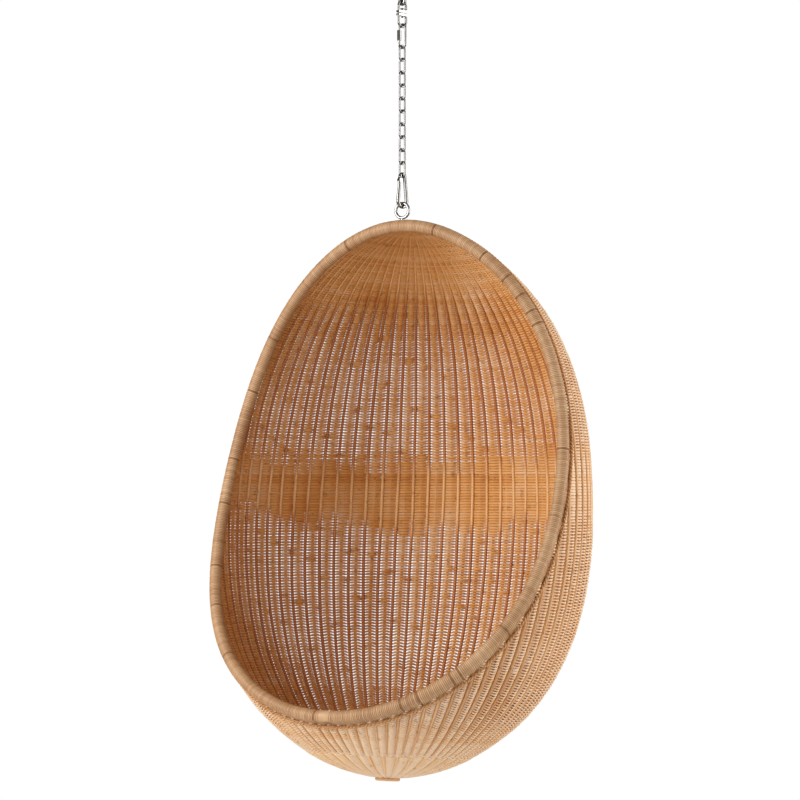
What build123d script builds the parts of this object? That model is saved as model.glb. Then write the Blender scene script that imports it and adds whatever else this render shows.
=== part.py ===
from build123d import *
import os
from math import asin, cos, degrees, pi, radians, sin, sqrt

# Hanging egg chair: a woven rattan egg with a bound rim, hung from a ceiling plate by two snap hooks, a swivel,
# a quick link and a ten-link chain. Millimetres, +Z up, the opening faces -Y. The origin is the centre of the
# ceiling plate's upper face, straight above the chair's eye bolt.

os.makedirs("parts", exist_ok=True)

# ---------------------------------------------------------------- driving dimensions
# ceiling fitting
plate_radius = 35.0
plate_thickness = 5.0
screw_circle_radius = 26.0
screw_hole_radius = 2.75
screw_head_radius = 5.2
ceiling_wire = 8.0
ceiling_eye_width = 30.0  # between the centre lines of the two legs
ceiling_eye_drop = 39.0  # from the ceiling to the bow's lowest centre line

# snap hooks, both alike: a pear-shaped loop of wire with a gate in one side
hook_wire = 8.0
hook_length = 80.0
hook_narrow_radius = 7.2  # centre lines
hook_wide_radius = 13.0
gate_pivot_at = 7.0  # along the gate side, from the narrow bend
gate_end_at = 37.0
nose_at = 37.5
gate_wire = 7.0
gate_tongue = 2.4
gate_slot = 3.0
gate_latch_radius = 1.5
gate_latch_length = 3.5
nose_slot_width = 3.7
nose_slot_depth = 4.2
rivet_radius = 1.5
rivet_head_radius = 2.4
rivet_head_height = 0.8
running_clearance = 0.05

# swivel
swivel_wire = 5.5
swivel_eye_width = 28.0
swivel_bar_height = 5.0
swivel_bar_depth = 9.0
swivel_gap = 2.0
swivel_pin_radius = 2.7
swivel_head_radius = 4.4
swivel_head_height = 4.0
swivel_washer_height = 0.8
swivel_stub = 4.0
swivel_top_to_centre = 24.2  # from the upper hook's bearing to the middle of the swivel
swivel_centre_to_bottom = 27.4  # from there to the bottom eye's bearing

# quick link
quick_wire = 5.0
quick_length = 57.0
quick_width = 24.7
sleeve_length = 22.0
sleeve_across_flats = 8.6
sleeve_below_top = 14.4
quick_gap_below_top = 15.5
quick_gap = 6.0

# chain
link_count = 10
link_wire = 4.5
link_pitch = 28.4
link_width = 20.5

# eye bolt in the rim
eye_wire = 7.0
eye_outer = 39.0
shank_radius = 4.0
shank_shoulder = 0.6  # the ring stands this far off the binding
nut_across_flats = 13.0
nut_height = 6.0
washer_radius = 8.5
washer_height = 1.5

# chair shell: a surface of revolution, tipped forward, with its front cut away
egg_radius = 416.0
egg_height = 1200.0
egg_waist_shift = -0.05  # coefficients of the outline, see shell_radius
egg_fullness = 0.14
egg_end_point = -0.14
egg_tip = radians(5.0)  # the foot swings forward by this much
shell_thickness = 6.0
cut_offset = -58.3  # the rim seen from the side: local Y = offset + slope * s + bow * s * s
cut_slope = 0.266
cut_bow = -3.99e-4
tube_radius = 12.0
tube_wall = 6.0
binding_thickness = 1.5
shell_to_rim = 14.2  # from the rim's centre line to the shell's edge
base_disc_radius = 30.0
base_disc_height = 8.0

# how far apart pieces on different bodies stay where they bear on each other
bearing_gap = 0.3

# directions of the wire planes about the vertical: neighbours stand square to each other
plane_a = radians(73.5)
plane_b = radians(-16.5)

# ---------------------------------------------------------------- heights down the suspension
# each bearing is the top of a wire that the next piece hangs on
ceiling_bearing = -ceiling_eye_drop + ceiling_wire / 2
upper_hook_top = ceiling_bearing + bearing_gap + hook_wire
swivel_bearing = upper_hook_top - hook_length + hook_wire
swivel_centre = swivel_bearing - swivel_top_to_centre
quick_bearing = swivel_centre - swivel_centre_to_bottom
quick_top = quick_bearing + bearing_gap + quick_wire
chain_bearing = quick_top - quick_length + quick_wire
lower_hook_bearing = chain_bearing - link_count * link_pitch
lower_hook_top = lower_hook_bearing + bearing_gap + hook_wire
eye_bearing = lower_hook_top - hook_length + hook_wire
eye_centre = eye_bearing + bearing_gap + eye_wire - eye_outer / 2
rim_radius = tube_radius + binding_thickness
rim_top = eye_centre - eye_outer / 2 - shank_shoulder - rim_radius


# ---------------------------------------------------------------- helpers
def upright_plane(angle, height, up=1):
    """The vertical plane through the suspension axis whose local x points along angle; up=-1 turns it over."""
    x_dir = Vector(cos(angle), sin(angle), 0)
    return Plane(origin=(0, 0, height), x_dir=x_dir, z_dir=x_dir.cross(Vector(0, 0, up)))


def save(builder, name):
    """Labels a finished piece and writes it."""
    builder.part.label = name
    export_step(builder.part, f"parts/{name}.step")


def start_of(path):
    """The plane square to a path's start."""
    return Plane(origin=path @ 0, z_dir=path % 0)


def flat(point):
    """A point of a plane's own x and y, as a builder on that plane takes it."""
    return (point.X, point.Y)


# ---------------------------------------------------------------- ceiling plate and eye
with BuildPart() as ceiling_plate:
    with BuildSketch(Plane.XY.offset(-plate_thickness)):
        Circle(plate_radius)
    extrude(amount=plate_thickness)
    fillet(ceiling_plate.faces().sort_by(Axis.Z)[0].outer_wire().edges(), radius=1.5)
    with Locations(Plane.XY.offset(-plate_thickness).rotated((180, 0, 0))):
        with PolarLocations(screw_circle_radius, 4, start_angle=45):
            CounterSinkHole(screw_hole_radius, screw_head_radius)
save(ceiling_plate, "ceiling_plate")

with BuildPart() as ceiling_eye:
    with BuildLine(upright_plane(plane_a, 0)) as bow:
        half = ceiling_eye_width / 2
        bend_height = -ceiling_eye_drop + half
        Line((-half, -plate_thickness), (-half, bend_height))
        ThreePointArc((-half, bend_height), (0, -ceiling_eye_drop), (half, bend_height))
        Line((half, bend_height), (half, -plate_thickness))
    with BuildSketch(start_of(bow.line)):
        Circle(ceiling_wire / 2)
    sweep(path=bow.line)
save(ceiling_eye, "ceiling_eye")


# ---------------------------------------------------------------- snap hooks
def snap_hook(plane):
    """Body, gate and rivet of a snap hook. Local y runs from the wide end to the narrow one, whose top is at 0."""
    narrow = Vector(0, -hook_wire / 2 - hook_narrow_radius)
    wide = Vector(0, -hook_length + hook_wire / 2 + hook_wide_radius)
    lean = asin((hook_wide_radius - hook_narrow_radius) / (narrow.Y - wide.Y))
    gate_side = Vector(-cos(lean), sin(lean))
    back_side = Vector(cos(lean), sin(lean))
    gate_start = narrow + gate_side * hook_narrow_radius
    back_start = narrow + back_side * hook_narrow_radius
    gate_foot = wide + gate_side * hook_wide_radius
    back_foot = wide + back_side * hook_wide_radius
    down = (gate_foot - gate_start).normalized()
    pivot = gate_start + down * gate_pivot_at
    gate_end = gate_start + down * gate_end_at
    nose = gate_start + down * nose_at
    top = narrow + Vector(0, hook_narrow_radius)
    bottom = wide - Vector(0, hook_wide_radius)
    eye_radius = hook_wire / 2
    eye_plane = plane.shift_origin(plane.from_local_coords(pivot))

    with BuildPart() as body:
        with BuildLine(plane) as path:
            Line(flat(pivot), flat(gate_start))
            ThreePointArc(flat(gate_start), flat(top), flat(back_start))
            Line(flat(back_start), flat(back_foot))
            ThreePointArc(flat(back_foot), flat(bottom), flat(gate_foot))
            Line(flat(gate_foot), flat(nose))
        with BuildSketch(start_of(path.line)):
            Circle(hook_wire / 2)
        sweep(path=path.line)
        with BuildSketch(eye_plane):
            Circle(eye_radius)
        extrude(amount=hook_wire / 2, both=True)
        with BuildSketch(eye_plane):
            with Locations(-down * 1.0):
                Rectangle(3 * hook_wire, hook_wire + 2, rotation=-degrees(lean))
        extrude(amount=gate_slot / 2, both=True, mode=Mode.SUBTRACT)
        with BuildSketch(eye_plane):
            Circle(rivet_radius)
        extrude(amount=hook_wire, both=True, mode=Mode.SUBTRACT)
        with BuildSketch(plane):
            slot_middle = nose + down * nose_slot_depth / 2 - gate_side * (hook_wire / 2 - 2)
            with Locations(slot_middle):
                Rectangle(hook_wire, nose_slot_depth, rotation=-degrees(lean))
        extrude(amount=nose_slot_width / 2, both=True, mode=Mode.SUBTRACT)

    with BuildPart() as gate:
        with BuildLine(plane) as path:
            Line(flat(pivot), flat(gate_end))
        with BuildSketch(start_of(path.line)):
            Circle(gate_wire / 2)
        sweep(path=path.line)
        with BuildSketch(eye_plane):
            Circle(eye_radius + 0.4)
        extrude(amount=hook_wire, both=True, mode=Mode.SUBTRACT)
        with BuildSketch(eye_plane):
            Circle(eye_radius - 0.6)
            with Locations(down * 3):
                Rectangle(gate_wire - 1.5, 6, rotation=-degrees(lean))
        extrude(amount=gate_tongue / 2, both=True)
        with BuildSketch(eye_plane):
            Circle(rivet_radius + running_clearance)
        extrude(amount=hook_wire, both=True, mode=Mode.SUBTRACT)
        with BuildSketch(start_of(path.line).offset(gate_end_at - gate_pivot_at)):
            Circle(gate_latch_radius)
        extrude(amount=gate_latch_length)

    with BuildPart() as rivet:
        with BuildSketch(eye_plane):
            Circle(rivet_radius)
        extrude(amount=hook_wire / 2, both=True)
        for side in (1, -1):
            with BuildSketch(eye_plane.offset(side * hook_wire / 2)):
                Circle(rivet_head_radius)
            extrude(amount=side * rivet_head_height)
    return body, gate, rivet


# the upper hook hangs upside down, wide end on the ceiling eye
upper_plane = upright_plane(plane_b, upper_hook_top - hook_length, up=-1)
upper_hook, upper_gate, upper_rivet = snap_hook(upper_plane)
save(upper_hook, "upper_hook")
save(upper_gate, "upper_gate")
save(upper_rivet, "upper_rivet")

lower_plane = upright_plane(plane_a, lower_hook_top)
lower_hook, lower_gate, lower_rivet = snap_hook(lower_plane)
save(lower_hook, "lower_hook")
save(lower_gate, "lower_gate")
save(lower_rivet, "lower_rivet")


# ---------------------------------------------------------------- swivel
def swivel_eye(plane, bow_height, bore_radius):
    """A D-shaped eye: local y runs from the face of its flat bar, at 0, to the bow's centre line."""
    half = (swivel_eye_width - swivel_wire) / 2
    with BuildPart() as eye:
        with BuildLine(plane) as path:
            Line((-half, 1), (-half, bow_height - half))
            ThreePointArc((-half, bow_height - half), (0, bow_height), (half, bow_height - half))
            Line((half, bow_height - half), (half, 1))
        with BuildSketch(start_of(path.line)):
            Circle(swivel_wire / 2)
        sweep(path=path.line)
        with BuildSketch(plane):
            with Locations((0, swivel_bar_height / 2)):
                RectangleRounded(swivel_eye_width, swivel_bar_height, 1.5)
        extrude(amount=swivel_bar_depth / 2, both=True)
        with BuildSketch(Plane(origin=plane.origin, z_dir=plane.y_dir)):
            Circle(bore_radius)
        extrude(amount=swivel_bar_height, mode=Mode.SUBTRACT)
    return eye


top_bar_face = swivel_centre + swivel_gap / 2
bottom_bar_face = swivel_centre - swivel_gap / 2
top_bow = swivel_bearing + bearing_gap + swivel_wire / 2 - top_bar_face
bottom_bow = bottom_bar_face - quick_bearing + swivel_wire / 2
swivel_top_eye = swivel_eye(upright_plane(plane_a, top_bar_face), top_bow, swivel_pin_radius + running_clearance)
save(swivel_top_eye, "swivel_top_eye")

swivel_bottom_eye = swivel_eye(upright_plane(plane_a, bottom_bar_face, up=-1), bottom_bow, swivel_pin_radius)
save(swivel_bottom_eye, "swivel_bottom_eye")

washer_bottom = top_bar_face + swivel_bar_height
with BuildPart() as swivel_washer:
    with BuildSketch(Plane.XY.offset(washer_bottom)):
        Circle(swivel_head_radius + 0.6)
        Circle(swivel_pin_radius + running_clearance, mode=Mode.SUBTRACT)
    extrude(amount=swivel_washer_height)
save(swivel_washer, "swivel_washer")

pin_head_bottom = washer_bottom + swivel_washer_height + bearing_gap
pin_foot = bottom_bar_face - swivel_bar_height - swivel_stub
with BuildPart() as swivel_pin:
    with BuildSketch(Plane.XY.offset(pin_foot)):
        Circle(swivel_pin_radius)
    extrude(amount=pin_head_bottom - pin_foot)
    with BuildSketch(Plane.XY.offset(pin_head_bottom)):
        Circle(swivel_head_radius)
    extrude(amount=swivel_head_height)
    fillet(swivel_pin.faces().sort_by(Axis.Z)[-1].edges(), radius=1.5)
    chamfer(swivel_pin.faces().sort_by(Axis.Z)[0].edges(), length=0.6)
save(swivel_pin, "swivel_pin")

# ---------------------------------------------------------------- quick link and its sleeve
quick_half = (quick_width - quick_wire) / 2
quick_high = -quick_wire / 2 - quick_half
quick_low = -quick_length + quick_wire / 2 + quick_half
gap_high = -quick_gap_below_top
gap_low = gap_high - quick_gap
with BuildPart() as quick_link:
    with BuildLine(upright_plane(plane_b, quick_top)) as path:
        Line((-quick_half, gap_high), (-quick_half, quick_high))
        ThreePointArc((-quick_half, quick_high), (0, quick_high + quick_half), (quick_half, quick_high))
        Line((quick_half, quick_high), (quick_half, quick_low))
        ThreePointArc((quick_half, quick_low), (0, quick_low - quick_half), (-quick_half, quick_low))
        Line((-quick_half, quick_low), (-quick_half, gap_low))
    with BuildSketch(start_of(path.line)):
        Circle(quick_wire / 2)
    sweep(path=path.line)
save(quick_link, "quick_link")

sleeve_axis = Vector(-quick_half * cos(plane_b), -quick_half * sin(plane_b), quick_top - sleeve_below_top)
sleeve_plane = Plane(origin=sleeve_axis, x_dir=(cos(plane_b), sin(plane_b), 0), z_dir=(0, 0, -1))
with BuildPart() as quick_link_sleeve:
    with BuildSketch(sleeve_plane):
        RegularPolygon(sleeve_across_flats / 2, 6, major_radius=False)
        Circle(quick_wire / 2 + running_clearance, mode=Mode.SUBTRACT)
    extrude(amount=sleeve_length)
    with BuildSketch(sleeve_plane):
        Circle(sleeve_across_flats / 2 + 0.25)
    extrude(amount=sleeve_length, mode=Mode.INTERSECT)
save(quick_link_sleeve, "quick_link_sleeve")


# ---------------------------------------------------------------- chain
def chain_link(plane):
    """One oblong link whose upper inside surface is at the plane's origin."""
    half = (link_width - link_wire) / 2
    high = link_wire / 2 - half
    low = -link_pitch - bearing_gap - link_wire / 2 + half
    with BuildPart() as link:
        with BuildLine(plane) as path:
            Line((-half, low), (-half, high))
            ThreePointArc((-half, high), (0, high + half), (half, high))
            Line((half, high), (half, low))
            ThreePointArc((half, low), (0, low - half), (-half, low))
        with BuildSketch(start_of(path.line)):
            Circle(link_wire / 2)
        sweep(path=path.line)
    return link


for number in range(1, link_count + 1):
    link_top = chain_bearing - (number - 1) * link_pitch + bearing_gap
    turned = plane_a if number % 2 else plane_b
    save(chain_link(upright_plane(turned, link_top)), f"chain_link_{number:02d}")

# ---------------------------------------------------------------- eye bolt, washer and nut
nut_top = rim_top - washer_height - 1.6
shank_foot = nut_top - nut_height
with BuildPart() as eye_bolt:
    with BuildLine(Plane.XZ.offset(0)) as ring:
        CenterArc((0, eye_centre), (eye_outer - eye_wire) / 2, 0, 360)
    with BuildSketch(start_of(ring.line)):
        Circle(eye_wire / 2)
    sweep(path=ring.line)
    with BuildSketch(Plane.XY.offset(shank_foot)):
        Circle(shank_radius)
    extrude(amount=eye_centre - eye_outer / 2 + 1.5 - shank_foot)
save(eye_bolt, "eye_bolt")

with BuildPart() as eye_washer:
    with BuildSketch(Plane.XY.offset(nut_top)):
        Circle(washer_radius)
        Circle(shank_radius, mode=Mode.SUBTRACT)
    extrude(amount=washer_height)
save(eye_washer, "eye_washer")

with BuildPart() as eye_nut:
    with BuildSketch(Plane.XY.offset(shank_foot)):
        RegularPolygon(nut_across_flats / 2, 6, major_radius=False)
        Circle(shank_radius, mode=Mode.SUBTRACT)
    extrude(amount=nut_height)
save(eye_nut, "eye_nut")


# ---------------------------------------------------------------- the egg's formulas
def shell_radius(turn):
    """Radius of the shell's middle surface; turn goes from 0 at the foot to pi at the crown."""
    c = -cos(turn)
    return egg_radius * sin(turn) * (1 + egg_waist_shift * c + egg_fullness * c**2 + egg_end_point * c**4)


def shell_point(turn, offset=0.0):
    """(radius, height along the egg's axis) of a surface that lies offset outside the middle one."""
    step = 1e-4
    radius = shell_radius(turn)
    height = -egg_height / 2 * cos(turn)
    if turn < step or turn > pi - step:
        return 0.0, height + (offset if turn > 1 else -offset)
    along_r = shell_radius(turn + step) - shell_radius(turn - step)
    along_h = -egg_height / 2 * (cos(turn + step) - cos(turn - step))
    length = sqrt(along_r**2 + along_h**2)
    return radius + offset * along_h / length, height - offset * along_r / length


def cut_depth(height):
    """Local Y of the rim's centre line, seen from the side."""
    return cut_offset + cut_slope * height + cut_bow * height**2


def side_distance(turn):
    """Square of the rim's local X at this turn, negative outside the rim's span."""
    return shell_radius(turn) ** 2 - cut_depth(-egg_height / 2 * cos(turn)) ** 2


def rim_end(inside, outside):
    """The turn where the rim crosses the egg's middle plane, by halving."""
    for _ in range(60):
        middle = (inside + outside) / 2
        if side_distance(middle) > 0:
            inside = middle
        else:
            outside = middle
    return inside


rim_foot_turn = rim_end(pi / 2, 0.0)
rim_crown_turn = rim_end(pi / 2, pi)

# the egg's own axes in the chair's frame
egg_axis = Vector(0, sin(egg_tip), cos(egg_tip))
egg_back = Vector(0, cos(egg_tip), -sin(egg_tip))
crown_height = -egg_height / 2 * cos(rim_crown_turn)
crown_offset = egg_back * cut_depth(crown_height) + egg_axis * crown_height
egg_centre = Vector(0, 0, rim_top) - crown_offset
side_plane = Plane(origin=egg_centre, x_dir=egg_back, z_dir=(1, 0, 0))

# ---------------------------------------------------------------- rim tube and binding
rim_stations = 16


def rim_point(angle):
    """The rim's centre line; angle runs once round from the foot, up the +X side."""
    turn = rim_foot_turn + (rim_crown_turn - rim_foot_turn) * (1 - cos(angle)) / 2
    height = -egg_height / 2 * cos(turn)
    x = sqrt(max(side_distance(turn), 0.0))
    if sin(angle) < 0:
        x = -x
    return egg_centre + Vector(x, 0, 0) + egg_back * cut_depth(height) + egg_axis * height


def rim_direction(angle):
    step = 1e-3
    return (rim_point(angle + step) - rim_point(angle - step)).normalized()


def biarc_joint(start, start_direction, end, end_direction):
    """Where two arcs that leave start and reach end in the given directions meet, and their direction there."""
    chord = end - start
    along = chord.dot(start_direction + end_direction)
    bend = 2 * (1 - start_direction.dot(end_direction))
    reach = (sqrt(along**2 + bend * chord.dot(chord)) - along) / bend
    first = start + start_direction * reach
    last = end - end_direction * reach
    return (first + last) * 0.5, (last - first).normalized()


def rim_path():
    """A closed chain of arcs, tangent to each other, through the rim's stations."""
    angles = [2 * pi * (i + 0.5) / rim_stations for i in range(rim_stations)]
    for angle, next_angle in zip(angles, angles[1:] + angles[:1]):
        start, start_direction = rim_point(angle), rim_direction(angle)
        end, end_direction = rim_point(next_angle), rim_direction(next_angle)
        joint, joint_direction = biarc_joint(start, start_direction, end, end_direction)
        TangentArc(start, joint, tangent=start_direction)
        TangentArc(joint, end, tangent=joint_direction)


# the bolt's bore through the rim, its seam turned away from the rim's own seam
bolt_plane = Plane(origin=(0, 0, rim_top)).rotated((0, 0, 33))

with BuildPart() as rim_tube:
    with BuildLine() as hoop:
        rim_path()
    with BuildSketch(start_of(hoop.line)):
        Circle(tube_radius)
        Circle(tube_radius - tube_wall, mode=Mode.SUBTRACT)
    sweep(path=hoop.line)
    with BuildSketch(bolt_plane):
        Circle(shank_radius)
    extrude(amount=2 * tube_radius, both=True, mode=Mode.SUBTRACT)
    with BuildSketch(bolt_plane.offset(nut_top + washer_height - rim_top)):
        Circle(washer_radius)
    extrude(amount=-2 * tube_radius, mode=Mode.SUBTRACT)
save(rim_tube, "rim_tube")

with BuildPart() as rim_binding:
    with BuildLine() as hoop:
        rim_path()
    with BuildSketch(start_of(hoop.line)):
        Circle(rim_radius)
        Circle(tube_radius, mode=Mode.SUBTRACT)
    sweep(path=hoop.line)
    with BuildSketch(bolt_plane):
        Circle(shank_radius + running_clearance)
    extrude(amount=2 * rim_radius, mode=Mode.SUBTRACT)
save(rim_binding, "rim_binding")

# ---------------------------------------------------------------- woven shell, in zones and sectors
zone_steps = 7
zones = {
    "shell_foot": (0.0, 0.75),
    "shell_seat": (0.75, 1.50),
    "shell_waist": (1.50, 1.86),
    "shell_back": (1.86, 2.58),
    "shell_crown": (2.58, pi),
}
sectors = {
    "left": (180.0, 60.0),
    "middle": (60.0, -60.0),
    "right": (-60.0, -180.0),
}
foot_cut_depth = 40.0

cut_steps = 12
cut_reach = egg_height / 2 + 60
front_edge = []
for i in range(cut_steps + 1):
    height = -cut_reach + 2 * cut_reach * i / cut_steps
    slope = cut_slope + 2 * cut_bow * height
    length = sqrt(1 + slope**2)
    front_edge.append((cut_depth(height) + shell_to_rim / length, height - shell_to_rim * slope / length))


def shell_piece(low, high, start, end, at_foot):
    """The shell between two turns, and between two angles from the back, behind the front edge."""
    turns = [low + (high - low) * i / zone_steps for i in range(zone_steps + 1)]
    outside = [shell_point(turn, shell_thickness / 2) for turn in turns]
    inside = [shell_point(turn, -shell_thickness / 2) for turn in turns]
    side = Vector(sin(radians(start)), 0, 0) + egg_back * cos(radians(start))
    with BuildPart() as piece:
        with BuildSketch(Plane(origin=egg_centre, x_dir=side, z_dir=side.cross(egg_axis))):
            with BuildLine():
                Spline(*outside)
                Line(outside[-1], inside[-1])
                Spline(*reversed(inside))
                Line(inside[0], outside[0])
            make_face()
        revolve(axis=Axis(egg_centre, egg_axis), revolution_arc=start - end)
        with BuildSketch(side_plane):
            with BuildLine():
                Spline(*front_edge)
                Polyline(front_edge[-1], (-2 * egg_radius, cut_reach), (-2 * egg_radius, -cut_reach), front_edge[0])
            make_face()
        extrude(amount=2 * egg_radius, both=True, mode=Mode.SUBTRACT)
        if at_foot:
            with BuildSketch(Plane(origin=egg_centre - egg_axis * (egg_height / 2), z_dir=egg_axis)):
                Circle(base_disc_radius)
            extrude(amount=-foot_cut_depth, mode=Mode.SUBTRACT)
    return piece


for zone, (low, high) in zones.items():
    if zone == "shell_crown":
        save(shell_piece(low, high, 180.0, -180.0, False), zone)
        continue
    for sector, (start, end) in sectors.items():
        save(shell_piece(low, high, start, end, zone == "shell_foot"), f"{zone}_{sector}")

with BuildPart() as base_disc:
    with BuildSketch(Plane(origin=egg_centre - egg_axis * (egg_height / 2), z_dir=egg_axis)):
        Circle(base_disc_radius)
    extrude(amount=-base_disc_height)
save(base_disc, "base_disc")
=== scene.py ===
import math

import bpy
import numpy as np
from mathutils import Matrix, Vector


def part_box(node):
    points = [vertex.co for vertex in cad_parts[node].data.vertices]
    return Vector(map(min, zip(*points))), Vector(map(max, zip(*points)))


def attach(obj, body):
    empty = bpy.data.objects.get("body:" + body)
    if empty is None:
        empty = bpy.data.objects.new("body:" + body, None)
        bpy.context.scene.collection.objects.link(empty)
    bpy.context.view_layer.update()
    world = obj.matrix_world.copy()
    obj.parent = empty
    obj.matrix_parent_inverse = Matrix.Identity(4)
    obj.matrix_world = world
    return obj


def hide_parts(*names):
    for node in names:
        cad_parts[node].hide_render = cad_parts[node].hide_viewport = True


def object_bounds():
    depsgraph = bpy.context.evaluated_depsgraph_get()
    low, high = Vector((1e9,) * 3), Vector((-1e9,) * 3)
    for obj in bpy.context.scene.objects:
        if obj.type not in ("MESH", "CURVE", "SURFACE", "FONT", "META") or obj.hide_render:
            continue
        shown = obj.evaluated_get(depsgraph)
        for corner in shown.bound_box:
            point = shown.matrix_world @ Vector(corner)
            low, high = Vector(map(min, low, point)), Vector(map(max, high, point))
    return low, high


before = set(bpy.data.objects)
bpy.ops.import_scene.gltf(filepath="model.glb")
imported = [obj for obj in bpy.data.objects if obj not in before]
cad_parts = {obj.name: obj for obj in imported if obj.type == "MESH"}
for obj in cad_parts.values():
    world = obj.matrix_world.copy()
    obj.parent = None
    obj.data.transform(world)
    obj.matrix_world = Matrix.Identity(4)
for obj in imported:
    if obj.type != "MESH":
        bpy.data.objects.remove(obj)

cad_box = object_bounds()
rng = np.random.default_rng(7)

# ------------------------------------------------------------------ the egg, as the CAD shell has it, in metres
EGG_RADIUS = 0.416
EGG_HEIGHT = 1.200
WAIST_SHIFT, FULLNESS, END_POINT = -0.05, 0.14, -0.14
EGG_TIP = math.radians(5.0)
CUT_OFFSET, CUT_SLOPE, CUT_BOW = -0.0583, 0.266, -0.399
RIM_RADIUS = 0.0135

# ------------------------------------------------------------------ the weave
STAKES = 144
STAKE_RADIUS = 0.0036
STRAND_DEPTH = 0.0019  # half the strand's thickness
STRAND_WIDTH = 0.0029  # half its width, where it lies over a stake
NARROW_STRAND_WIDTH = 0.0016  # half its width, where it dives behind a stake and leaves an opening
TIGHT_STRAND_WIDTH = 0.0037
ROW_PITCH = 0.00635
WAVE = 0.0045  # how far a strand swings to each side of the stakes
CROWN_SPACING = 0.0048  # nearer than this, every other stake ends
FOOT_RING_TURN = 0.41  # below this, the foot has fewer stakes
SAMPLES_PER_STAKE = 4
STRAND_SIDES = 5
STAKE_SIDES = 8
OUTER_PAINTED_LIGHT = 0.42  # how much lighter a strand is painted on its outer side, a painted rim light
FOOT_RADIUS = 0.031
CROWN_GAP = 0.008  # the last row stops this far from the crown's pole
STAKE_STEP = 0.012
STRAND_EDGE_GAP = 0.006  # from the rim's centre line to a strand's end
STAKE_EDGE_GAP = 0.004
FULL_SWING_SPACING = 0.0125  # stakes nearer than this make the strands swing less
LEAST_STAKES = 36

# ------------------------------------------------------------------ the rim's wrapping
PEEL_PITCH = 0.0039
PEEL_SIDES = 28
PEEL_STEPS = 4
PEEL_CROWN = 0.0008
CUT_COUNT, CUT_DEPTH = 22, 0.0022  # narrow gaps between turns, sunk and darkened with painted shade
WRAP_REACH = 0.008  # how much further the wrapping reaches over the shell's edge

# ------------------------------------------------------------------ the pair beside the rim, and the foot's coil
BRAID_PITCH, BRAID_SWING, BRAID_REACH, BRAID_LIFT, BRAID_STEPS = 0.0165, 0.0021, 0.0245, 0.0052, 12
BRAID_RADIUS, BRAID_SIDES = 0.0019, 6
COIL_STRAND, COIL_STEPS, COIL_SIDES = 0.0023, 16, 8


def shell_radius(turn):
    """Radius of the shell's middle surface; turn goes from 0 at the foot to pi at the crown."""
    c = -np.cos(turn)
    return EGG_RADIUS * np.sin(turn) * (1 + WAIST_SHIFT * c + FULLNESS * c**2 + END_POINT * c**4)


def cut_depth(height):
    return CUT_OFFSET + CUT_SLOPE * height + CUT_BOW * height**2


# tables along one meridian, from foot to crown
turns = np.linspace(0, math.pi, 6001)
radii = shell_radius(turns)
heights = -EGG_HEIGHT / 2 * np.cos(turns)
lengths = np.concatenate([[0], np.cumsum(np.hypot(np.diff(radii), np.diff(heights)))])
slope_r = np.gradient(radii, lengths)
slope_h = np.gradient(heights, lengths)

# the rim's ends, where it crosses the egg's middle plane
in_span = turns[radii**2 > cut_depth(heights) ** 2]
rim_foot_turn, rim_crown_turn = in_span[0], in_span[-1]
AXIS = np.array([0, math.sin(EGG_TIP), math.cos(EGG_TIP)])
BACK = np.array([0, math.cos(EGG_TIP), -math.sin(EGG_TIP)])
SIDE = np.array([1.0, 0, 0])
rim_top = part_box("rim_binding")[1].z - RIM_RADIUS
crown_height = -EGG_HEIGHT / 2 * math.cos(rim_crown_turn)
CENTRE = np.array([0, 0, rim_top]) - BACK * cut_depth(crown_height) - AXIS * crown_height


def place(x, back, height):
    """Egg coordinates to the row's frame."""
    return CENTRE + np.multiply.outer(x, SIDE) + np.multiply.outer(back, BACK) + np.multiply.outer(height, AXIS)


def on_shell(length, angle, offset):
    """A point this far up from the foot, at this angle from the back, offset outside the middle surface."""
    radius = np.interp(length, lengths, radii)
    height = np.interp(length, lengths, heights)
    normal_r = np.interp(length, lengths, slope_h)
    normal_h = -np.interp(length, lengths, slope_r)
    reach = radius + offset * normal_r
    return place(reach * np.sin(angle), reach * np.cos(angle), height + offset * normal_h)


def shell_normal(length, angle):
    normal_r = np.interp(length, lengths, slope_h)
    normal_h = -np.interp(length, lengths, slope_r)
    origin = place(0.0, 0.0, 0.0)
    return place(normal_r * np.sin(angle), normal_r * np.cos(angle), normal_h) - origin


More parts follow.
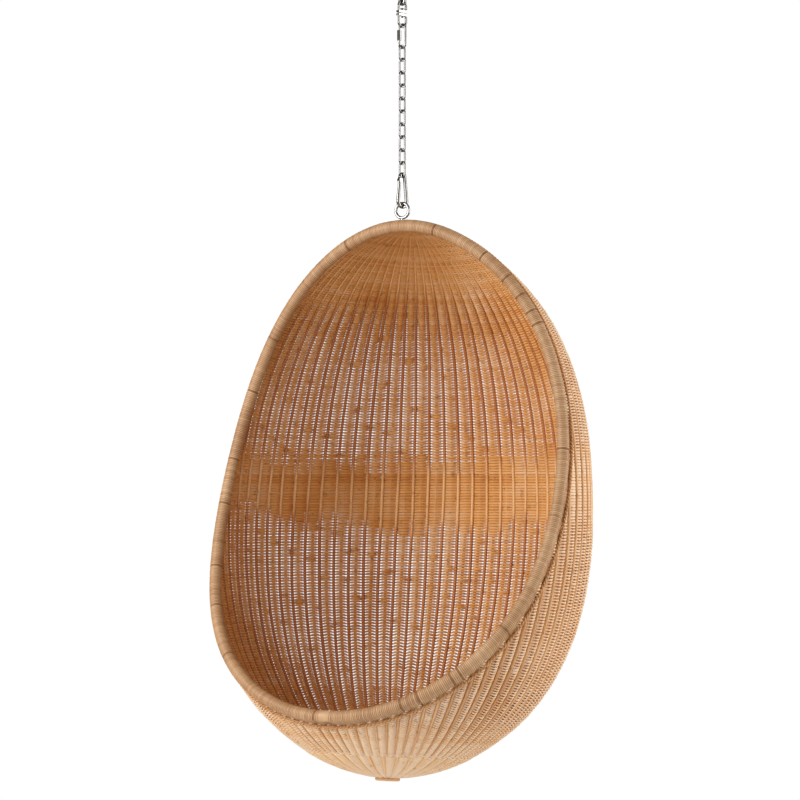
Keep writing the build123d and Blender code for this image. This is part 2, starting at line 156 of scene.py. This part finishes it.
# ------------------------------------------------------------------ meshes out of many tubes
class Tubes:
    """Collects tubes and turns them into one mesh, with a tone and a grain coordinate on every point."""

    def __init__(self):
        self.points, self.faces, self.ends, self.tones, self.grains = [], [], [], [], []
        self.count = 0

    def add(self, path, normals, depth, width, sides, tone, closed=False, outer_tone=0.0):
        """A tube along path, depth and width thick each way, with a painted rim light that lightens its outer
        side.
        """
        n = len(path)
        if n < 3:
            return
        if closed:
            tangent = np.roll(path, -1, 0) - np.roll(path, 1, 0)
        else:
            tangent = np.gradient(path, axis=0)
        tangent /= np.linalg.norm(tangent, axis=1)[:, None]
        across = np.cross(tangent, normals)
        across /= np.linalg.norm(across, axis=1)[:, None]
        out = np.cross(across, tangent)
        angle = 2 * math.pi * (np.arange(sides) + 0.5) / sides
        depth = np.broadcast_to(depth, (n,))[:, None, None]
        width = np.broadcast_to(width, (n,))[:, None, None]
        up = out[:, None] * np.cos(angle)[None, :, None] * depth
        points = path[:, None] + up + across[:, None] * np.sin(angle)[None, :, None] * width
        along = np.concatenate([[0], np.cumsum(np.linalg.norm(np.diff(path, axis=0), axis=1))])
        grain = np.empty((n, sides, 3))
        first_tone = float(np.ravel(tone)[0])
        grain[..., 0] = along[:, None] + 7.3 * first_tone
        grain[..., 1] = np.sin(angle)[None] * 0.004
        grain[..., 2] = np.cos(angle)[None] * 0.004 + 3.1 * first_tone
        i = np.arange(n if closed else n - 1)[:, None]
        k = np.arange(sides)[None, :]
        j, m = (i + 1) % n, (k + 1) % sides
        quads = np.stack([i * sides + k, i * sides + m, j * sides + m, j * sides + k], -1).reshape(-1, 4)
        self.points.append(points.reshape(-1, 3))
        self.faces.append(quads + self.count)
        # painted rim light: the tube's outer side gets a lighter tone
        tones = np.broadcast_to(tone, (n,))[:, None] + outer_tone * np.clip(np.cos(angle), 0, 1)[None, :]
        self.tones.append(tones.ravel())
        self.grains.append(grain.reshape(-1, 3))
        if not closed:
            self.cap(path[0], 0, sides, first_tone, flip=False)
            self.cap(path[-1], (n - 1) * sides, sides, first_tone, flip=True)
        self.count += n * sides + (0 if closed else 2)

    def cap(self, centre, first, sides, tone, flip):
        """A fan of triangles that closes a tube's end."""
        hub = self.count + len(self.points[-1])
        k = np.arange(sides)
        m = (k + 1) % sides
        fan = np.stack([first + m, first + k], -1) + self.count
        if flip:
            fan = fan[:, ::-1]
        self.points[-1] = np.vstack([self.points[-1], centre[None]])
        self.tones[-1] = np.append(self.tones[-1], tone)
        self.grains[-1] = np.vstack([self.grains[-1], self.grains[-1][first][None]])
        self.ends.append(np.column_stack([fan, np.full(sides, hub)]))

    def mesh(self, name, material):
        return solid(
            name,
            np.vstack(self.points),
            [np.vstack(self.faces)] + ([np.vstack(self.ends)] if self.ends else []),
            np.concatenate(self.tones),
            np.vstack(self.grains),
            material,
        )


def solid(name, points, faces, tones, grains, material):
    """A smooth mesh object out of arrays; faces is a list of arrays, each with faces of one size."""
    mesh = bpy.data.meshes.new(name)
    mesh.vertices.add(len(points))
    mesh.vertices.foreach_set("co", points.astype(np.float32).ravel())
    totals = np.concatenate([np.full(len(f), f.shape[1]) for f in faces])
    corners = np.concatenate([f.ravel() for f in faces])
    mesh.loops.add(len(corners))
    mesh.loops.foreach_set("vertex_index", corners.astype(np.int32))
    mesh.polygons.add(len(totals))
    mesh.polygons.foreach_set("loop_start", np.concatenate([[0], np.cumsum(totals)[:-1]]).astype(np.int32))
    mesh.polygons.foreach_set("loop_total", totals.astype(np.int32))
    mesh.polygons.foreach_set("use_smooth", np.ones(len(totals), bool))
    mesh.update(calc_edges=True)
    tone = mesh.attributes.new("tone", "FLOAT", "POINT")
    tone.data.foreach_set("value", tones.astype(np.float32))
    grain = mesh.attributes.new("grain", "FLOAT_VECTOR", "POINT")
    grain.data.foreach_set("vector", grains.astype(np.float32).ravel())
    mesh.materials.append(material)
    piece = bpy.data.objects.new(name, mesh)
    bpy.context.scene.collection.objects.link(piece)
    return piece


# ------------------------------------------------------------------ materials
def linear(r, g, b):
    """An sRGB colour of 0 to 255 as linear values."""
    def one(v):
        v /= 255
        return v / 12.92 if v <= 0.04045 else ((v + 0.055) / 1.055) ** 2.4
    return (one(r), one(g), one(b), 1.0)


def rattan(name, dark, middle, light, roughness, fleck=0.35, rows=0.0):
    """Cane: long fibres in the grain's direction, a tone of its own for each strand, and brown flecks.
    rows is the strength of a painted shadow at the pitch of the rows, where strands pass behind it."""
    material = bpy.data.materials.new(name)
    material.use_nodes = True
    nodes, links = material.node_tree.nodes, material.node_tree.links
    shader = nodes["Principled BSDF"]
    grain = nodes.new("ShaderNodeAttribute")
    grain.attribute_name = "grain"
    tone = nodes.new("ShaderNodeAttribute")
    tone.attribute_name = "tone"

    stretch = nodes.new("ShaderNodeMapping")
    stretch.inputs["Scale"].default_value = (28, 900, 900)
    links.new(grain.outputs["Vector"], stretch.inputs["Vector"])
    fibres = nodes.new("ShaderNodeTexNoise")
    fibres.inputs["Scale"].default_value = 1.0
    fibres.inputs["Detail"].default_value = 3.0
    links.new(stretch.outputs["Vector"], fibres.inputs["Vector"])

    place_ = nodes.new("ShaderNodeTexCoord")
    patches = nodes.new("ShaderNodeTexNoise")
    patches.inputs["Scale"].default_value = 9.0
    patches.inputs["Detail"].default_value = 2.0
    links.new(place_.outputs["Object"], patches.inputs["Vector"])

    blend = nodes.new("ShaderNodeMath")
    blend.operation = "MULTIPLY_ADD"
    blend.inputs[1].default_value = 0.45
    links.new(fibres.outputs["Fac"], blend.inputs[0])
    links.new(tone.outputs["Fac"], blend.inputs[2])
    more = nodes.new("ShaderNodeMath")
    more.operation = "MULTIPLY_ADD"
    more.inputs[1].default_value = 0.5
    links.new(patches.outputs["Fac"], more.inputs[0])
    links.new(blend.outputs["Value"], more.inputs[2])
    ramp = nodes.new("ShaderNodeValToRGB")
    ramp.color_ramp.elements[0].position = 0.35
    ramp.color_ramp.elements[0].color = dark
    ramp.color_ramp.elements[1].position = 1.0
    ramp.color_ramp.elements[1].color = light
    centre = ramp.color_ramp.elements.new(0.68)
    centre.color = middle
    shift = nodes.new("ShaderNodeMath")
    shift.operation = "SUBTRACT"
    shift.inputs[1].default_value = 0.3
    links.new(more.outputs["Value"], shift.inputs[0])
    links.new(shift.outputs["Value"], ramp.inputs["Fac"])

    spots = nodes.new("ShaderNodeTexNoise")
    spots.inputs["Scale"].default_value = 70.0
    spots.inputs["Detail"].default_value = 1.0
    links.new(place_.outputs["Object"], spots.inputs["Vector"])
    rare = nodes.new("ShaderNodeMapRange")
    rare.inputs["From Min"].default_value = 0.66
    rare.inputs["From Max"].default_value = 0.74
    rare.inputs["To Max"].default_value = fleck
    links.new(spots.outputs["Fac"], rare.inputs["Value"])
    fleck_mix = nodes.new("ShaderNodeMix")
    fleck_mix.data_type = "RGBA"
    fleck_mix.inputs["B"].default_value = linear(112, 66, 32)
    links.new(rare.outputs["Result"], fleck_mix.inputs["Factor"])
    links.new(ramp.outputs["Color"], fleck_mix.inputs["A"])
    # painted shadow of the strands at the pitch of the rows, weaker where the tone is light
    if rows:
        split = nodes.new("ShaderNodeSeparateXYZ")
        links.new(grain.outputs["Vector"], split.inputs["Vector"])
        along = nodes.new("ShaderNodeMath")
        along.operation = "MULTIPLY"
        along.inputs[1].default_value = 2 * math.pi / ROW_PITCH
        links.new(split.outputs["X"], along.inputs[0])
        row_wave = nodes.new("ShaderNodeMath")
        row_wave.operation = "SINE"
        links.new(along.outputs["Value"], row_wave.inputs[0])
        row_shadow_amount = nodes.new("ShaderNodeMapRange")
        row_shadow_amount.inputs["From Min"].default_value = -0.2
        row_shadow_amount.inputs["From Max"].default_value = 0.7
        row_shadow_amount.inputs["To Max"].default_value = rows
        links.new(row_wave.outputs["Value"], row_shadow_amount.inputs["Value"])
        row_shadow_mix = nodes.new("ShaderNodeMix")
        row_shadow_mix.data_type = "RGBA"
        # the colour of the painted row shadow
        row_shadow_mix.inputs["B"].default_value = linear(116, 62, 24)
        fewer = nodes.new("ShaderNodeMath")
        fewer.operation = "SUBTRACT"
        fewer.use_clamp = True
        fewer.inputs[0].default_value = 1.1
        links.new(tone.outputs["Fac"], fewer.inputs[1])
        row_shadow_weight = nodes.new("ShaderNodeMath")
        row_shadow_weight.operation = "MULTIPLY"
        links.new(row_shadow_amount.outputs["Result"], row_shadow_weight.inputs[0])
        links.new(fewer.outputs["Value"], row_shadow_weight.inputs[1])
        links.new(row_shadow_weight.outputs["Value"], row_shadow_mix.inputs["Factor"])
        links.new(fleck_mix.outputs["Result"], row_shadow_mix.inputs["A"])
        links.new(row_shadow_mix.outputs["Result"], shader.inputs["Base Color"])
    else:
        links.new(fleck_mix.outputs["Result"], shader.inputs["Base Color"])

    gloss = nodes.new("ShaderNodeMapRange")
    gloss.inputs["To Min"].default_value = roughness - 0.08
    gloss.inputs["To Max"].default_value = roughness + 0.12
    links.new(fibres.outputs["Fac"], gloss.inputs["Value"])
    links.new(gloss.outputs["Result"], shader.inputs["Roughness"])
    bump = nodes.new("ShaderNodeBump")
    bump.inputs["Strength"].default_value = 0.35
    bump.inputs["Distance"].default_value = 0.0006
    links.new(fibres.outputs["Fac"], bump.inputs["Height"])
    links.new(bump.outputs["Normal"], shader.inputs["Normal"])
    shader.inputs["Specular IOR Level"].default_value = 0.4
    return material


def steel(name, colour, roughness, brush=0.06):
    """Plated steel: small smears in its gloss, a faint brushing and slight colour variation."""
    material = bpy.data.materials.new(name)
    material.use_nodes = True
    nodes, links = material.node_tree.nodes, material.node_tree.links
    shader = nodes["Principled BSDF"]
    shader.inputs["Metallic"].default_value = 1.0
    place_ = nodes.new("ShaderNodeTexCoord")
    smears = nodes.new("ShaderNodeTexNoise")
    smears.inputs["Scale"].default_value = 160.0
    smears.inputs["Detail"].default_value = 4.0
    links.new(place_.outputs["Object"], smears.inputs["Vector"])
    gloss = nodes.new("ShaderNodeMapRange")
    gloss.inputs["To Min"].default_value = roughness
    gloss.inputs["To Max"].default_value = roughness + brush
    links.new(smears.outputs["Fac"], gloss.inputs["Value"])
    links.new(gloss.outputs["Result"], shader.inputs["Roughness"])
    tint = nodes.new("ShaderNodeMix")
    tint.data_type = "RGBA"
    tint.inputs["A"].default_value = colour
    tint.inputs["B"].default_value = tuple(0.8 * c for c in colour[:3]) + (1.0,)
    links.new(smears.outputs["Fac"], tint.inputs["Factor"])
    links.new(tint.outputs["Result"], shader.inputs["Base Color"])
    bump = nodes.new("ShaderNodeBump")
    bump.inputs["Strength"].default_value = 0.05
    bump.inputs["Distance"].default_value = 0.0002
    links.new(smears.outputs["Fac"], bump.inputs["Height"])
    links.new(bump.outputs["Normal"], shader.inputs["Normal"])
    return material


strand_cane = rattan("strand_cane", linear(182, 110, 42), linear(214, 156, 88), linear(226, 196, 164), 0.5)
# cane for the stakes seen from inside, with painted shade: a darker tone in the open stretches and a painted
# shadow at the pitch of the rows
shaded_cane = rattan(
    "shaded_cane", linear(188, 118, 58), linear(208, 144, 82), linear(228, 182, 126), 0.5, rows=0.6
)
stake_cane = rattan("stake_cane", linear(172, 116, 66), linear(202, 150, 98), linear(222, 178, 130), 0.45)
peel = rattan("peel", linear(136, 92, 52), linear(186, 146, 106), linear(210, 176, 138), 0.42, fleck=0.2)
polished = steel("polished_steel", (0.27, 0.26, 0.25, 1), 0.10)
satin = steel("satin_steel", (0.38, 0.37, 0.36, 1), 0.24)

# ------------------------------------------------------------------ rows of strands
total_length = lengths[-1]
foot_length = float(np.interp(FOOT_RADIUS, radii[:2000], lengths[:2000]))
crown_length = float(total_length - CROWN_GAP)
ring_length = float(np.interp(FOOT_RING_TURN, turns, lengths))


def stakes_at(length, radius):
    """How many stakes stand at this length from the foot: every other one ends where they would crowd."""
    count = STAKES
    if length < ring_length:
        count //= 2
    least = CROWN_SPACING if length > total_length / 2 else 0.8 * CROWN_SPACING
    while 2 * math.pi * radius / count < least and count > LEAST_STAKES:
        count //= 2
    return count


def row_tilt(height):
    """How much a row climbs towards the back, against the egg's axis."""
    middle = math.tan(EGG_TIP)
    low = np.clip((-0.28 - height) / 0.22, 0, 1)
    high = np.clip((height - 0.36) / 0.2, 0, 1)
    return middle * (1 - low * low * (3 - 2 * low)) * (1 - high * high * (3 - 2 * high))


def step_up(value, middle, width):
    return 1 / (1 + np.exp(-(value - middle) / width))


def tightness(length, angle):
    """1 where the weave is closed, at the waist, crown and foot, and 0 in the open stretches."""
    height = np.interp(length, lengths, heights)
    ragged = 0.010 * np.sin(11 * angle + 60 * height) + 0.007 * np.sin(29 * angle - 90 * height)
    waist = step_up(height, -0.030 + 0.012 * np.sin(3 * angle) + ragged, 0.013)
    upper = 0.100 + 0.02 * np.cos(angle) + 0.012 * np.sin(2 * angle) + ragged
    waist = waist * (1 - step_up(height, upper, 0.018))
    crown = step_up(height, 0.435 + 0.05 * np.cos(angle), 0.014)
    foot = 1 - step_up(height, -0.485, 0.012)
    return np.clip(waist + crown + foot, 0, 1)


def patches_of(length, angle):
    """Small places in the open stretches where the weave is closed all the same."""
    rough = np.sin(190 * length + 5 * np.sin(4 * angle)) * np.sin(19 * angle - 47 * length)
    rough = rough * np.sin(7 * angle + 31 * length)
    return np.clip((rough - 0.6) * 5, 0, 1)


def zone_of(length):
    """The CAD zone that a row belongs to."""
    turn = float(np.interp(length, lengths, turns))
    for name, top in (("foot", 0.75), ("seat", 1.50), ("waist", 1.86), ("back", 2.58)):
        if turn < top:
            return name
    return "crown"


rows = int((crown_length - foot_length) / ROW_PITCH)
strand_zones = {}
for row in range(rows + 1):
    length = foot_length + row * ROW_PITCH
    radius = float(np.interp(length, lengths, radii))
    height = float(np.interp(length, lengths, heights))
    count = stakes_at(length, radius)
    spacing = 2 * math.pi * radius / count
    steps = count * SAMPLES_PER_STAKE
    angle = 2 * math.pi * np.arange(steps) / steps - math.pi
    phases = rng.uniform(0, 2 * math.pi, 4)
    wobble = 0.0002 * (np.sin(3 * angle + phases[0]) + 0.6 * np.sin(11 * angle + phases[1]))
    tilted = length + float(row_tilt(height)) * radius * np.cos(angle) + wobble
    tilted = np.clip(tilted, 0.002, total_length - 0.002)
    closed = tightness(tilted, angle)
    swing = WAVE * min(1.0, max(0.45, spacing / FULL_SWING_SPACING)) * (1 - 0.5 * closed)
    wave = swing * np.cos(count * angle / 2) * (1 + 0.08 * np.sin(5 * angle + phases[2]))
    path = on_shell(tilted, angle, wave)
    normals = shell_normal(tilted, angle)
    dive = np.exp(-(((np.abs(np.mod(count * angle / (4 * math.pi) + 0.5, 1) - 0.5) - 0.13) / 0.065) ** 2))
    open_width = STRAND_WIDTH - (STRAND_WIDTH - NARROW_STRAND_WIDTH) * dive
    patchy = patches_of(tilted, angle)
    width = open_width + (TIGHT_STRAND_WIDTH - open_width) * np.clip(closed + patchy, 0, 1)
    width *= 1 + 0.02 * rng.standard_normal()
    local_height = np.interp(tilted, lengths, heights)
    local_back = np.interp(tilted, lengths, radii) * np.cos(angle)
    kept = local_back > cut_depth(local_height) + STRAND_EDGE_GAP
    tone = float(np.clip(0.5 + 0.05 * rng.standard_normal(), 0.1, 0.9))
    target = strand_zones.setdefault(f"{zone_of(length)}_{row % 2 + 1}", Tubes())
    if kept.all():
        target.add(path, normals, STRAND_DEPTH, width, STRAND_SIDES, tone, closed=True, outer_tone=OUTER_PAINTED_LIGHT)
        continue
    edges = np.flatnonzero(np.diff(np.concatenate([[0], kept.astype(int), [0]])))
    for first, last in edges.reshape(-1, 2):
        part = slice(first, last)
        target.add(
            path[part], normals[part], STRAND_DEPTH, width[part], STRAND_SIDES, tone, outer_tone=OUTER_PAINTED_LIGHT
        )

# ------------------------------------------------------------------ stakes
stake_zones = {}
samples = np.arange(foot_length - 0.004, total_length - 0.004, STAKE_STEP)
sample_radius = np.interp(samples, lengths, radii)
sample_count = np.array([stakes_at(a, r) for a, r in zip(samples, sample_radius)])
sample_height = np.interp(samples, lengths, heights)
for stake in range(STAKES):
    angle = 2 * math.pi * stake / STAKES - math.pi
    phases = rng.uniform(0, 2 * math.pi, 2)
    drift = 0.0009 * np.sin(samples * 9 + phases[0]) + 0.0005 * np.sin(samples * 23 + phases[1])
    angles = angle + drift / np.maximum(sample_radius, 0.05)
    stands = stake % (STAKES // sample_count) == 0
    kept = stands & (sample_radius * np.cos(angles) > cut_depth(sample_height) + STAKE_EDGE_GAP)
    path = on_shell(samples, angles, 0.0)
    normals = shell_normal(samples, angles)
    spacing = 2 * math.pi * sample_radius / sample_count
    radius = np.minimum(STAKE_RADIUS, 0.25 * spacing) * (1 + 0.05 * rng.standard_normal())
    tone = np.full(len(samples), np.clip(0.5 + 0.1 * rng.standard_normal(), 0.1, 0.9))
    # painted shade: the stakes seen from inside are darker in the open stretches, where they stand in shadow,
    # and lighter where the weave is closed
    if stake % 2 == 0:
        tone = 0.15 + 0.75 * tightness(samples, angles) + 0.2 * (tone - 0.5)
    edges = np.flatnonzero(np.diff(np.concatenate([[0], kept.astype(int), [0]])))
    for first, last in edges.reshape(-1, 2):
        seen_from = "outside" if stake % 2 else "inside"
        target = stake_zones.setdefault(seen_from, Tubes())
        part = slice(first, last)
        target.add(path[part], normals[part], radius[part], radius[part], STAKE_SIDES, tone[part])

# ------------------------------------------------------------------ the rim and its wrapping
fine = np.linspace(0, 2 * math.pi, 20001)
fine_turn = rim_foot_turn + (rim_crown_turn - rim_foot_turn) * (1 - np.cos(fine)) / 2
fine_radius = shell_radius(fine_turn)
fine_height = -EGG_HEIGHT / 2 * np.cos(fine_turn)
fine_x = np.sqrt(np.maximum(fine_radius**2 - cut_depth(fine_height) ** 2, 0))
fine_x = fine_x * np.where(np.sin(fine) < 0, -1, 1)
fine_points = place(fine_x, cut_depth(fine_height), fine_height)
fine_run = np.concatenate([[0], np.cumsum(np.linalg.norm(np.diff(fine_points, axis=0), axis=1))])
rim_length = fine_run[-1]
strips = int(rim_length / PEEL_PITCH)
peel_pitch = rim_length / strips


def rim_frame(run):
    """Centre line, direction along the shell away from the mouth, and outward normal, at this run."""

    def at(run):
        run = np.mod(run, rim_length)
        return np.stack([np.interp(run, fine_run, fine_points[:, k]) for k in range(3)], -1)

    centre = at(run)
    step = 0.004
    tangent = at(run + step) - at(run - step)
    tangent /= np.linalg.norm(tangent, axis=-1)[..., None]
    local = centre - CENTRE
    height = local @ AXIS
    back = local @ BACK
    x = local[..., 0]
    length = np.interp(height, heights, lengths)
    normal = shell_normal(length, np.arctan2(x, back))
    normal -= tangent * (normal * tangent).sum(-1)[..., None]
    normal /= np.linalg.norm(normal, axis=-1)[..., None]
    inward = np.cross(tangent, normal)
    sign = np.sign((inward * BACK).sum(-1))
    inward *= sign[..., None]
    return centre, inward, normal


def wrap_outline(angle):
    """The wrapping's cross-section: round over the tube, then drawn down over the shell's edge."""
    along = np.cos(angle)
    inner = np.maximum(along, 0)
    reach = RIM_RADIUS + WRAP_REACH * inner**2.2
    narrow = 1 - 0.42 * inner**0.8
    return reach * along, RIM_RADIUS * np.sin(angle) * narrow


turn_step = np.arange(PEEL_SIDES) / PEEL_SIDES
outline_along, outline_out = wrap_outline(2 * math.pi * turn_step)
count = strips * PEEL_STEPS
station = np.arange(count)[:, None]
jitter = np.repeat(rng.normal(0, 0.00012, strips), PEEL_STEPS)
run = (station / PEEL_STEPS + turn_step[None, :]) * peel_pitch
crown = np.array([-0.75, 0.1, 0.25, 0.1]) * PEEL_CROWN
cuts = rng.integers(0, strips, CUT_COUNT)
lift = crown[np.arange(count) % PEEL_STEPS] + jitter
lift[cuts * PEEL_STEPS] -= CUT_DEPTH
centre, inward, normal = rim_frame(run)
centre_reach = np.hypot(outline_along, outline_out)
scale = (centre_reach[None, :] + lift[:, None]) / centre_reach[None, :]
points = centre + inward * (outline_along * scale)[..., None]
points = points + normal * (outline_out * scale)[..., None]
i = np.arange(count)[:, None]
k = np.arange(PEEL_SIDES)[None, :]
next_i = (i + 1) % count
wrap_shift = np.where(k + 1 == PEEL_SIDES, PEEL_STEPS, 0)
m = (k + 1) % PEEL_SIDES
beside = (i + wrap_shift) % count
beside_next = (next_i + wrap_shift) % count
quads = np.stack(
    [i * PEEL_SIDES + k, next_i * PEEL_SIDES + k, beside_next * PEEL_SIDES + m, beside * PEEL_SIDES + m], -1
)
strip_tone = np.clip(0.5 + 0.05 * rng.standard_normal(strips), 0.1, 0.9)
# painted shade: the strips at the gaps get the darkest tone
strip_tone[cuts] = 0.0
tones = np.repeat(np.repeat(strip_tone, PEEL_STEPS)[:, None], PEEL_SIDES, 1)
# painted shade in the sunken groove where each strip meets the next
tones[::PEEL_STEPS] -= 0.45
grains = np.empty((count, PEEL_SIDES, 3))
grains[..., 0] = turn_step[None, :] * 0.09 + 5 * tones
grains[..., 1] = (np.arange(count) % PEEL_STEPS)[:, None] * 0.001
grains[..., 2] = tones
wrapping = solid(
    "rim_wrapping", points.reshape(-1, 3), [quads.reshape(-1, 4)], tones.ravel(), grains.reshape(-1, 3), peel
)
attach(wrapping, "chair")
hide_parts("rim_binding", "rim_tube")

for zone, made in strand_zones.items():
    piece = made.mesh(f"strands_{zone}", strand_cane)
    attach(piece, "chair")
    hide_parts(*[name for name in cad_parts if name.startswith(f"shell_{zone[:-2]}")])
for side, made in stake_zones.items():
    piece = made.mesh(f"stakes_{side}", stake_cane if side == "outside" else shaded_cane)
    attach(piece, "chair")

# a pair of strands twisted round each other, where the wrapping ends on the shell
twists = int(rim_length / BRAID_PITCH)
braid = Tubes()
braid_run = rim_length * np.arange(twists * BRAID_STEPS) / (twists * BRAID_STEPS)
centre, inward, normal = rim_frame(braid_run)
for strand in range(2):
    phase = 2 * math.pi * (np.arange(twists * BRAID_STEPS) / BRAID_STEPS) + math.pi * strand
    path = centre + inward * (BRAID_REACH + BRAID_SWING * np.cos(phase))[:, None]
    path = path + normal * (BRAID_LIFT + BRAID_SWING * np.sin(phase))[:, None]
    braid.add(path, normal, BRAID_RADIUS, BRAID_RADIUS, BRAID_SIDES, 0.45, closed=True)
piece = braid.mesh("rim_braid", stake_cane)
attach(piece, "chair")

# the foot's end, a flat coil
low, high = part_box("base_disc")
disc_radius = (high.x - low.x) / 2
disc_centre = np.array((low + high) / 2)
disc_half = ((high.z - low.z) - 2 * disc_radius * math.sin(EGG_TIP)) / 2 / math.cos(EGG_TIP)
coil_turns = (disc_radius - COIL_STRAND) / (2 * COIL_STRAND)
coil_angle = 2 * math.pi * np.arange(int(coil_turns * COIL_STEPS) + 1) / COIL_STEPS
coil_reach = COIL_STRAND * coil_angle / math.pi
coil_path = disc_centre + np.outer(coil_reach * np.sin(coil_angle), SIDE)
coil_path = coil_path + np.outer(coil_reach * np.cos(coil_angle), BACK)
coil = Tubes()
coil.add(coil_path, np.tile(-AXIS, (len(coil_path), 1)), disc_half, COIL_STRAND, COIL_SIDES, 0.6)
piece = coil.mesh("foot_coil", strand_cane)
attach(piece, "chair")
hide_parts("base_disc")

# ------------------------------------------------------------------ CAD pieces that stay
for name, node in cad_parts.items():
    if node.hide_render:
        continue
    node.data.materials.clear()
    bright = name.startswith(("chain", "upper", "lower", "swivel", "quick"))
    node.data.materials.append(polished if bright else satin)
    node.data.polygons.foreach_set("use_smooth", np.ones(len(node.data.polygons), bool))

# ------------------------------------------------------------------ studio
FLOOR_BELOW = 0.45
FLOOR_RADIUS = 3.0
FLOOR_SIDES = 96
DOME_RADIUS = 40.0


def stage_mesh(name, points, faces, material):
    mesh = bpy.data.meshes.new(name)
    mesh.from_pydata(points, [], faces)
    mesh.materials.append(material)
    made = bpy.data.objects.new(name, mesh)
    bpy.context.scene.collection.objects.link(made)
    return made


def glow(name, strength):
    material = bpy.data.materials.new(name)
    material.use_nodes = True
    nodes, links = material.node_tree.nodes, material.node_tree.links
    nodes.remove(nodes["Principled BSDF"])
    shine = nodes.new("ShaderNodeEmission")
    shine.inputs["Strength"].default_value = strength
    links.new(shine.outputs["Emission"], nodes["Material Output"].inputs["Surface"])
    return material


# a round pale floor that fades into the white backdrop at its edge
paper = bpy.data.materials.new("paper")
paper.use_nodes = True
nodes, links = paper.node_tree.nodes, paper.node_tree.links
base = nodes["Principled BSDF"]
base.inputs["Base Color"].default_value = (0.93, 0.93, 0.92, 1)
base.inputs["Roughness"].default_value = 0.85
where = nodes.new("ShaderNodeTexCoord")
reach = nodes.new("ShaderNodeVectorMath")
reach.operation = "LENGTH"
links.new(where.outputs["Object"], reach.inputs[0])
fade = nodes.new("ShaderNodeMapRange")
fade.interpolation_type = "SMOOTHSTEP"
fade.inputs["From Min"].default_value = 0.35 * FLOOR_RADIUS
fade.inputs["From Max"].default_value = 0.98 * FLOOR_RADIUS
links.new(reach.outputs["Value"], fade.inputs["Value"])
clear = nodes.new("ShaderNodeBsdfTransparent")
both = nodes.new("ShaderNodeMixShader")
links.new(fade.outputs["Result"], both.inputs["Fac"])
links.new(base.outputs["BSDF"], both.inputs[1])
links.new(clear.outputs["BSDF"], both.inputs[2])
links.new(both.outputs["Shader"], nodes["Material Output"].inputs["Surface"])
floor_z = cad_box[0][2] - FLOOR_BELOW
round_angles = np.linspace(0, 2 * math.pi, FLOOR_SIDES + 1)[:-1]
edge = [(FLOOR_RADIUS * math.cos(a), FLOOR_RADIUS * math.sin(a), 0) for a in round_angles]
floor = stage_mesh("floor", edge, [tuple(range(FLOOR_SIDES))], paper)
floor.location.z = floor_z

# a white dome that only the camera sees
bpy.ops.mesh.primitive_uv_sphere_add(segments=48, ring_count=24, radius=DOME_RADIUS)
dome = bpy.context.object
dome.name = "backdrop"
dome.data.materials.append(glow("backdrop_white", 1.02))
dome.visible_diffuse = dome.visible_glossy = dome.visible_transmission = dome.visible_shadow = False

# two dark cards behind the chain, one to each side, that only show in reflections
soot = bpy.data.materials.new("soot")
soot.use_nodes = True
soot.node_tree.nodes["Principled BSDF"].inputs["Base Color"].default_value = (0.01, 0.01, 0.01, 1)
soot.node_tree.nodes["Principled BSDF"].inputs["Specular IOR Level"].default_value = 0.0
CARD_AZIMUTH, CARD_TURN = 29, 142
CARD_WIDTH, CARD_TOP, CARD_BOTTOM, CARD_AWAY = 1.5, 0.25, -0.62, 0.7
for number, azimuth in enumerate((CARD_AZIMUTH + CARD_TURN, CARD_AZIMUTH - CARD_TURN)):
    a = math.radians(azimuth)
    middle = Vector((math.sin(a), -math.cos(a), 0)) * CARD_AWAY
    along = Vector((math.cos(a), math.sin(a), 0)) * CARD_WIDTH / 2
    corners = [
        middle - along + Vector((0, 0, CARD_BOTTOM)),
        middle + along + Vector((0, 0, CARD_BOTTOM)),
        middle + along + Vector((0, 0, CARD_TOP)),
        middle - along + Vector((0, 0, CARD_TOP)),
    ]
    card = stage_mesh(f"dark_card_{number}", corners, [(0, 1, 2, 3)], soot)
    card.visible_camera = card.visible_diffuse = card.visible_shadow = card.visible_transmission = False

world = bpy.data.worlds.new("studio")
bpy.context.scene.world = world
world.use_nodes = True
world.node_tree.nodes["Background"].inputs["Color"].default_value = (1, 0.985, 0.96, 1)
world.node_tree.nodes["Background"].inputs["Strength"].default_value = 0.40


def softbox(name, azimuth, elevation, distance, size, watts, colour=(1, 1, 1), target=(0, 0, -1.15)):
    light = bpy.data.lights.new(name, "AREA")
    light.color = colour
    light.shape = "RECTANGLE"
    light.size, light.size_y = size
    light.energy = watts
    lamp = bpy.data.objects.new(name, light)
    bpy.context.scene.collection.objects.link(lamp)
    a, e = math.radians(azimuth), math.radians(elevation)
    away = Vector((math.sin(a) * math.cos(e), -math.cos(a) * math.cos(e), math.sin(e)))
    lamp.location = Vector(target) + away * distance
    lamp.rotation_euler = away.to_track_quat("Z", "Y").to_euler()


softbox("key_left", -34, 20, 3.2, (1.2, 2.0), 88)
softbox("back_right", 112, 14, 3.0, (1.3, 2.4), 72, colour=(1.0, 0.98, 0.95))
softbox("front_fill", 4, 4, 4.5, (1.8, 1.8), 44)

# ------------------------------------------------------------------ camera
VIEW_AZIMUTH, VIEW_ELEVATION = math.radians(29.07), math.radians(-1.24)
VIEW_DISTANCE = 5.814
camera = bpy.data.objects.new("camera", bpy.data.cameras.new("camera"))
bpy.context.scene.collection.objects.link(camera)
bpy.context.scene.camera = camera
toward = Vector(
    (
        math.sin(VIEW_AZIMUTH) * math.cos(VIEW_ELEVATION),
        -math.cos(VIEW_AZIMUTH) * math.cos(VIEW_ELEVATION),
        math.sin(VIEW_ELEVATION),
    )
)
stand = Vector((0, -0.02, -1.009)) + toward * VIEW_DISTANCE
aim = Vector((0.0045, -0.0185, -0.9720))
camera.location = stand
camera.rotation_euler = (stand - aim).to_track_quat("Z", "Y").to_euler()
camera.data.sensor_width = 36
camera.data.lens = 120.15
bpy.context.scene.view_settings.view_transform = "Standard"
